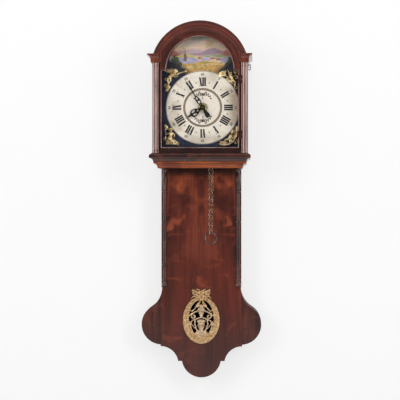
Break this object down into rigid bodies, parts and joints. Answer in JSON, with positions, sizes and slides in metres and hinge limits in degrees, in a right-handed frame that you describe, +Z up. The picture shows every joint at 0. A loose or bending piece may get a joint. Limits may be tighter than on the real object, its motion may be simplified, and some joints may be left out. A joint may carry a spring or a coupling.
{
  "type": "dutch wall clock",
  "caption": "Wall clock with an arched sliding hood, glazed door, painted dial, chain and pendulum movement, long trunk and shaped tail with a brass oval.",
  "frame": {"origin": "centre of the hanging hole at the wall face of the backboard", "axes": "+Z up, +Y into the wall, +X to the right as the dial is seen"},
  "size_m": [0.402, 0.222, 1.181],
  "materials": {
    "mahogany": "polished",
    "dark_wood": "polished",
    "oak": "raw",
    "gilt": "cast and gilt",
    "brass": "satin",
    "iron": "forged",
    "steel": "satin",
    "cream": "painted",
    "navy": "painted",
    "black": "blackened",
    "glass": "clear"
  },
  "bodies": {
    "root": {"backboard": "oak", "trunk_front": "mahogany", "tail_ears": "mahogany", "trunk_sides": "mahogany", "tail_rim": "oak", "half_columns": "mahogany", "oval_ornament": "gilt", "ornament_pins": "brass", "seat_board": "oak", "trunk_cornice": "mahogany", "dial_plate": "navy", "chapter_disc": "cream", "spandrels": "gilt", "dial_feet": "brass", "bottom_plate": "iron", "top_plate": "iron", "pillars": "brass", "front_bar": "brass", "centre_bar": "brass", "rear_bar": "brass", "suspension_cock": "iron", "bell": "gilt", "bell_stand": "iron", "chain_over_wheels": "iron"},
    "hood": {"hood_sides": "mahogany", "hood_roof": "mahogany", "hood_frame": "mahogany", "hood_base": "mahogany", "arch_moulding": "mahogany", "capital_blocks": "mahogany", "hood_columns": "mahogany", "hinge_pins": "brass", "hood_hook": "black"},
    "door": {"door_frame": "dark_wood", "door_glass": "glass", "hinge_knuckles": "brass"},
    "minute_arbor": {"centre_wheel": "brass", "minute_hand": "black"},
    "hour_pipe": {"hour_wheel": "brass", "hour_hand": "black", "hand_collet": "gilt"},
    "going_great": {"going_great_wheel": "brass"},
    "third": {"third_wheel": "brass"},
    "escape": {"escape_wheel": "brass"},
    "motion": {"minute_wheel": "brass"},
    "anchor_arbor": {"anchor": "steel"},
    "pendulum": {"suspension_spring": "steel", "pendulum_rod": "brass", "pendulum_bob": "brass", "rating_nut": "brass"},
    "strike_great": {"strike_great_wheel": "brass"},
    "strike_chain_wheel": {"strike_sprocket": "brass"},
    "hoop": {"hoop_wheel": "brass"},
    "warning": {"warning_wheel": "brass"},
    "fly_arbor": {"fly": "brass"},
    "count": {"count_wheel": "brass"},
    "hammer_arbor": {"hammer": "steel"},
    "lever_arbor": {"locking_lever": "steel"},
    "pull_chain": {"hanging_chain": "iron"},
    "ring": {"chain_ring": "iron"}
  },
  "joints": [
    {"name": "hood_slide", "type": "slide", "parent": "root", "child": "hood", "axis": [0, -1, 0], "range_m": [0, 0.22]},
    {"name": "door_swing", "type": "hinge", "parent": "hood", "child": "door", "pos_m": [0.1322, -0.2045, -0.22], "axis": [0, 0, 1], "range_deg": [0, 95]},
    {"name": "minute_turn", "type": "hinge", "parent": "root", "child": "minute_arbor", "pos_m": [0.008, -0.13, -0.22], "axis": [0, 1, 0], "continuous": true},
    {"name": "hour_turn", "type": "hinge", "parent": "root", "child": "hour_pipe", "pos_m": [0.008, -0.165, -0.22], "axis": [0, 1, 0], "continuous": true},
    {"name": "going_great_turn", "type": "hinge", "parent": "root", "child": "going_great", "pos_m": [0.008, -0.13, -0.2662], "axis": [0, 1, 0], "continuous": true},
    {"name": "third_turn", "type": "hinge", "parent": "root", "child": "third", "pos_m": [0.008, -0.13, -0.1793], "axis": [0, 1, 0], "continuous": true},
    {"name": "escape_turn", "type": "hinge", "parent": "root", "child": "escape", "pos_m": [0.008, -0.13, -0.1433], "axis": [0, 1, 0], "continuous": true},
    {"name": "motion_turn", "type": "hinge", "parent": "root", "child": "motion", "pos_m": [0.008, -0.158, -0.244], "axis": [0, 1, 0], "continuous": true},
    {"name": "pendulum_swing", "type": "hinge", "parent": "root", "child": "pendulum", "pos_m": [0.008, -0.036, -0.106], "axis": [0, 1, 0], "range_deg": [-2.5, 2.5]},
    {"name": "anchor_rock", "type": "hinge", "parent": "root", "child": "anchor_arbor", "pos_m": [0.008, -0.1, -0.106], "axis": [0, 1, 0], "range_deg": [-2.6, 2.6]},
    {"name": "hoop_turn", "type": "hinge", "parent": "root", "child": "hoop", "pos_m": [0.008, -0.1, -0.22], "axis": [0, 1, 0], "continuous": true},
    {"name": "strike_great_turn", "type": "hinge", "parent": "root", "child": "strike_great", "pos_m": [0.008, -0.09, -0.2662], "axis": [0, 1, 0], "continuous": true},
    {"name": "warning_turn", "type": "hinge", "parent": "root", "child": "warning", "pos_m": [0.008, -0.1, -0.187], "axis": [0, 1, 0], "continuous": true},
    {"name": "fly_turn", "type": "hinge", "parent": "root", "child": "fly_arbor", "pos_m": [0.008, -0.1, -0.1627], "axis": [0, 1, 0], "continuous": true},
    {"name": "count_turn", "type": "hinge", "parent": "root", "child": "count", "pos_m": [0.008, -0.074, -0.2382], "axis": [0, 1, 0], "continuous": true},
    {"name": "hammer_lift", "type": "hinge", "parent": "root", "child": "hammer_arbor", "pos_m": [-0.022, -0.1, -0.2], "axis": [0, -1, 0], "range_deg": [0, 10]},
    {"name": "lever_lift", "type": "hinge", "parent": "root", "child": "lever_arbor", "pos_m": [0.038, -0.09, -0.205], "axis": [0, -1, 0], "range_deg": [0, 8]},
    {"name": "chain_pull", "type": "slide", "parent": "root", "child": "pull_chain", "axis": [0, 0, -1], "range_m": [0, 0.06], "deforming": ["hanging_chain", "chain_over_wheels"]},
    {"name": "strike_sprocket_turn", "type": "hinge", "parent": "strike_great", "child": "strike_chain_wheel", "pos_m": [0.008, -0.1, -0.2662], "axis": [0, 1, 0], "range_deg": [-2, 230]},
    {"name": "ring_swing", "type": "hinge", "parent": "pull_chain", "child": "ring", "pos_m": [0.03347, -0.12, -0.6331], "axis": [1, 0, 0], "range_deg": [-30, 30]}
  ],
  "couplings": [
    {"joint": "hour_turn", "follows": "minute_turn", "ratio": 0.083333},
    {"joint": "going_great_turn", "follows": "minute_turn", "ratio": -0.16667},
    {"joint": "third_turn", "follows": "minute_turn", "ratio": -8.25},
    {"joint": "escape_turn", "follows": "minute_turn", "ratio": 66},
    {"joint": "motion_turn", "follows": "minute_turn", "ratio": -0.33333},
    {"joint": "anchor_rock", "follows": "pendulum_swing", "ratio": 1},
    {"joint": "strike_great_turn", "follows": "hoop_turn", "ratio": -0.076923},
    {"joint": "warning_turn", "follows": "hoop_turn", "ratio": -10},
    {"joint": "fly_turn", "follows": "hoop_turn", "ratio": 80},
    {"joint": "count_turn", "follows": "hoop_turn", "ratio": 0.012821},
    {"joint": "strike_sprocket_turn", "follows": "chain_pull", "rad_per_m": 65.45}
  ]
}
